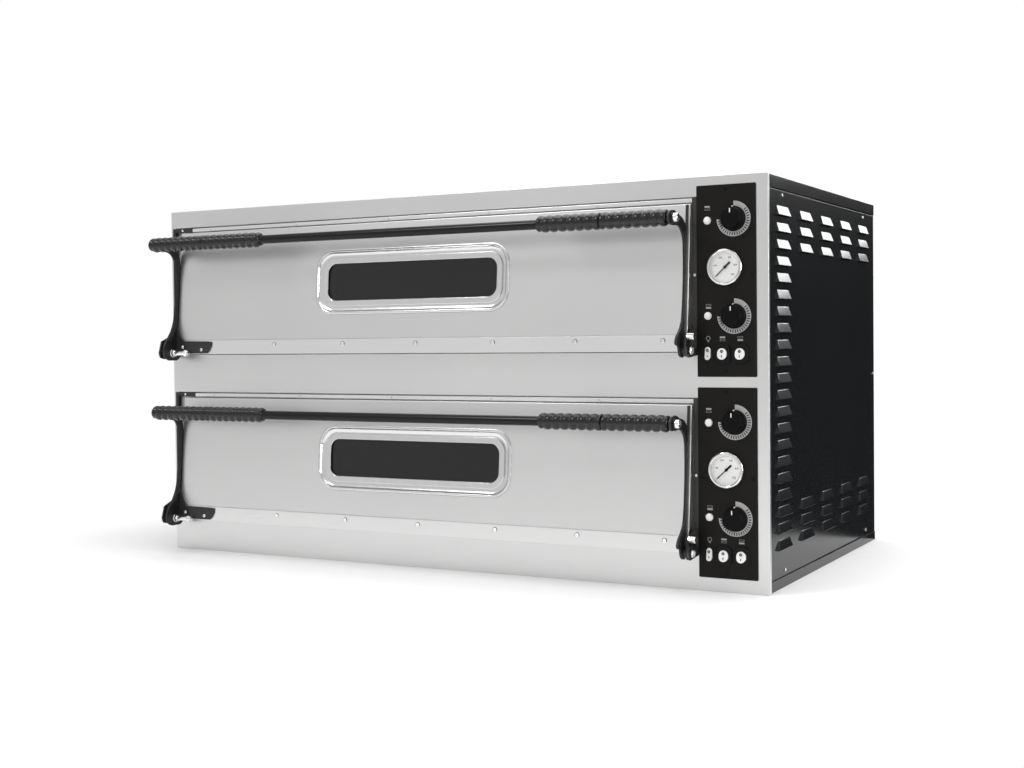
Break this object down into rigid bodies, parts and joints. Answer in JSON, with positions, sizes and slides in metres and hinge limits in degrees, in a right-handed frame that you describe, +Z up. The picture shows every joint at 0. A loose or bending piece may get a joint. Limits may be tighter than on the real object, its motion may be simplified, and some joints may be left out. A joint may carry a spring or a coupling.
{
  "type": "countertop pizza oven",
  "caption": "Two-deck electric countertop pizza oven: steel front, black louvred casing, drop-down windowed doors on side arms with twisted grips, knobs, gauges and rocker switches.",
  "frame": {"origin": "middle of the whole part's outline, handles and cable gland included, at the level of the base", "axes": "+X to the right seen from the front, +Y into the oven, so the doors face -Y, +Z up"},
  "size_m": [1.37, 0.8726, 0.745],
  "materials": {
    "stainless_front": "satin, faintly brushed",
    "black_paint": "satin black paint",
    "mineral_wool": "loose mineral wool",
    "gland_plastic": "moulded",
    "chamber_steel": "plain aluminised steel",
    "hearth_stone": "fired refractory stone",
    "heating_element": "oxidised sheath",
    "control_plate": "matt black",
    "polished_steel": "polished",
    "lamp_lens": "milky white lens",
    "bracket_paint": "semi-gloss black paint",
    "needle_black": "matt black",
    "knob_black": "moulded, with a white line",
    "rocker_white": "moulded",
    "window_glass": "toughened glass",
    "bar_black": "gloss black paint",
    "grip_plastic": "gloss black moulding"
  },
  "bodies": {
    "cabinet": {"front_fascia": "stainless_front", "base_pan": "black_paint", "top_cover": "black_paint", "rear_panel": "black_paint", "side_panel_left": "black_paint", "side_panel_right": "black_paint", "insulation": "mineral_wool", "cable_gland": "gland_plastic", "chamber_upper": "chamber_steel", "hearth_stone_upper_left": "hearth_stone", "hearth_stone_upper_right": "hearth_stone", "ceiling_element_upper": "heating_element", "floor_element_upper": "heating_element", "control_plate_upper": "control_plate", "gauge_case_upper": "polished_steel", "top_heat_lamp_upper": "lamp_lens", "bottom_heat_lamp_upper": "lamp_lens", "hinge_bracket_left_upper": "bracket_paint", "hinge_bracket_right_upper": "bracket_paint", "chamber_lower": "chamber_steel", "hearth_stone_lower_left": "hearth_stone", "hearth_stone_lower_right": "hearth_stone", "ceiling_element_lower": "heating_element", "floor_element_lower": "heating_element", "control_plate_lower": "control_plate", "gauge_case_lower": "polished_steel", "top_heat_lamp_lower": "lamp_lens", "bottom_heat_lamp_lower": "lamp_lens", "hinge_bracket_left_lower": "bracket_paint", "hinge_bracket_right_lower": "bracket_paint"},
    "gauge_needle_upper": {"gauge_needle_upper": "needle_black"},
    "top_heat_knob_upper": {"top_heat_knob_upper": "knob_black"},
    "bottom_heat_knob_upper": {"bottom_heat_knob_upper": "knob_black"},
    "light_rocker_upper": {"light_rocker_upper": "rocker_white"},
    "top_heat_rocker_upper": {"top_heat_rocker_upper": "rocker_white"},
    "bottom_heat_rocker_upper": {"bottom_heat_rocker_upper": "rocker_white"},
    "door_upper": {"door_skin_upper": "stainless_front", "door_liner_upper": "chamber_steel", "window_bezel_upper": "polished_steel", "window_glass_upper": "window_glass", "door_arm_left_upper": "bracket_paint", "door_arm_right_upper": "bracket_paint", "handle_bar_upper": "bar_black", "handle_grip_left_upper": "grip_plastic", "handle_grip_right_upper": "grip_plastic"},
    "gauge_needle_lower": {"gauge_needle_lower": "needle_black"},
    "top_heat_knob_lower": {"top_heat_knob_lower": "knob_black"},
    "bottom_heat_knob_lower": {"bottom_heat_knob_lower": "knob_black"},
    "light_rocker_lower": {"light_rocker_lower": "rocker_white"},
    "top_heat_rocker_lower": {"top_heat_rocker_lower": "rocker_white"},
    "bottom_heat_rocker_lower": {"bottom_heat_rocker_lower": "rocker_white"},
    "door_lower": {"door_skin_lower": "stainless_front", "door_liner_lower": "chamber_steel", "window_bezel_lower": "polished_steel", "window_glass_lower": "window_glass", "door_arm_left_lower": "bracket_paint", "door_arm_right_lower": "bracket_paint", "handle_bar_lower": "bar_black", "handle_grip_left_lower": "grip_plastic", "handle_grip_right_lower": "grip_plastic"}
  },
  "joints": [
    {"name": "gauge_needle_upper_turn", "type": "hinge", "parent": "cabinet", "child": "gauge_needle_upper", "pos_m": [0.606, -0.34075, 0.581], "axis": [0, 1, 0], "range_deg": [0, 270], "stiffness_Nm_per_rad": 0.0005},
    {"name": "top_heat_knob_upper_turn", "type": "hinge", "parent": "cabinet", "child": "top_heat_knob_upper", "pos_m": [0.622, -0.34775, 0.6665], "axis": [0, 1, 0], "range_deg": [0, 270]},
    {"name": "bottom_heat_knob_upper_turn", "type": "hinge", "parent": "cabinet", "child": "bottom_heat_knob_upper", "pos_m": [0.622, -0.34775, 0.494], "axis": [0, 1, 0], "range_deg": [0, 270]},
    {"name": "light_rocker_upper_tilt", "type": "hinge", "parent": "cabinet", "child": "light_rocker_upper", "pos_m": [0.5725, -0.33875, 0.428], "axis": [1, 0, 0], "range_deg": [-14, 0]},
    {"name": "top_heat_rocker_upper_tilt", "type": "hinge", "parent": "cabinet", "child": "top_heat_rocker_upper", "pos_m": [0.6, -0.33875, 0.427], "axis": [1, 0, 0], "range_deg": [-14, 0]},
    {"name": "bottom_heat_rocker_upper_tilt", "type": "hinge", "parent": "cabinet", "child": "bottom_heat_rocker_upper", "pos_m": [0.633, -0.33875, 0.427], "axis": [1, 0, 0], "range_deg": [-14, 0]},
    {"name": "door_upper_hinge", "type": "hinge", "parent": "cabinet", "child": "door_upper", "pos_m": [-0.053, -0.37575, 0.434], "axis": [1, 0, 0], "range_deg": [0, 90]},
    {"name": "gauge_needle_lower_turn", "type": "hinge", "parent": "cabinet", "child": "gauge_needle_lower", "pos_m": [0.606, -0.34075, 0.22], "axis": [0, 1, 0], "range_deg": [0, 270], "stiffness_Nm_per_rad": 0.0005},
    {"name": "top_heat_knob_lower_turn", "type": "hinge", "parent": "cabinet", "child": "top_heat_knob_lower", "pos_m": [0.622, -0.34775, 0.3055], "axis": [0, 1, 0], "range_deg": [0, 270]},
    {"name": "bottom_heat_knob_lower_turn", "type": "hinge", "parent": "cabinet", "child": "bottom_heat_knob_lower", "pos_m": [0.622, -0.34775, 0.133], "axis": [0, 1, 0], "range_deg": [0, 270]},
    {"name": "light_rocker_lower_tilt", "type": "hinge", "parent": "cabinet", "child": "light_rocker_lower", "pos_m": [0.5725, -0.33875, 0.067], "axis": [1, 0, 0], "range_deg": [-14, 0]},
    {"name": "top_heat_rocker_lower_tilt", "type": "hinge", "parent": "cabinet", "child": "top_heat_rocker_lower", "pos_m": [0.6, -0.33875, 0.066], "axis": [1, 0, 0], "range_deg": [-14, 0]},
    {"name": "bottom_heat_rocker_lower_tilt", "type": "hinge", "parent": "cabinet", "child": "bottom_heat_rocker_lower", "pos_m": [0.633, -0.33875, 0.066], "axis": [1, 0, 0], "range_deg": [-14, 0]},
    {"name": "door_lower_hinge", "type": "hinge", "parent": "cabinet", "child": "door_lower", "pos_m": [-0.053, -0.37575, 0.073], "axis": [1, 0, 0], "range_deg": [0, 90]}
  ]
}
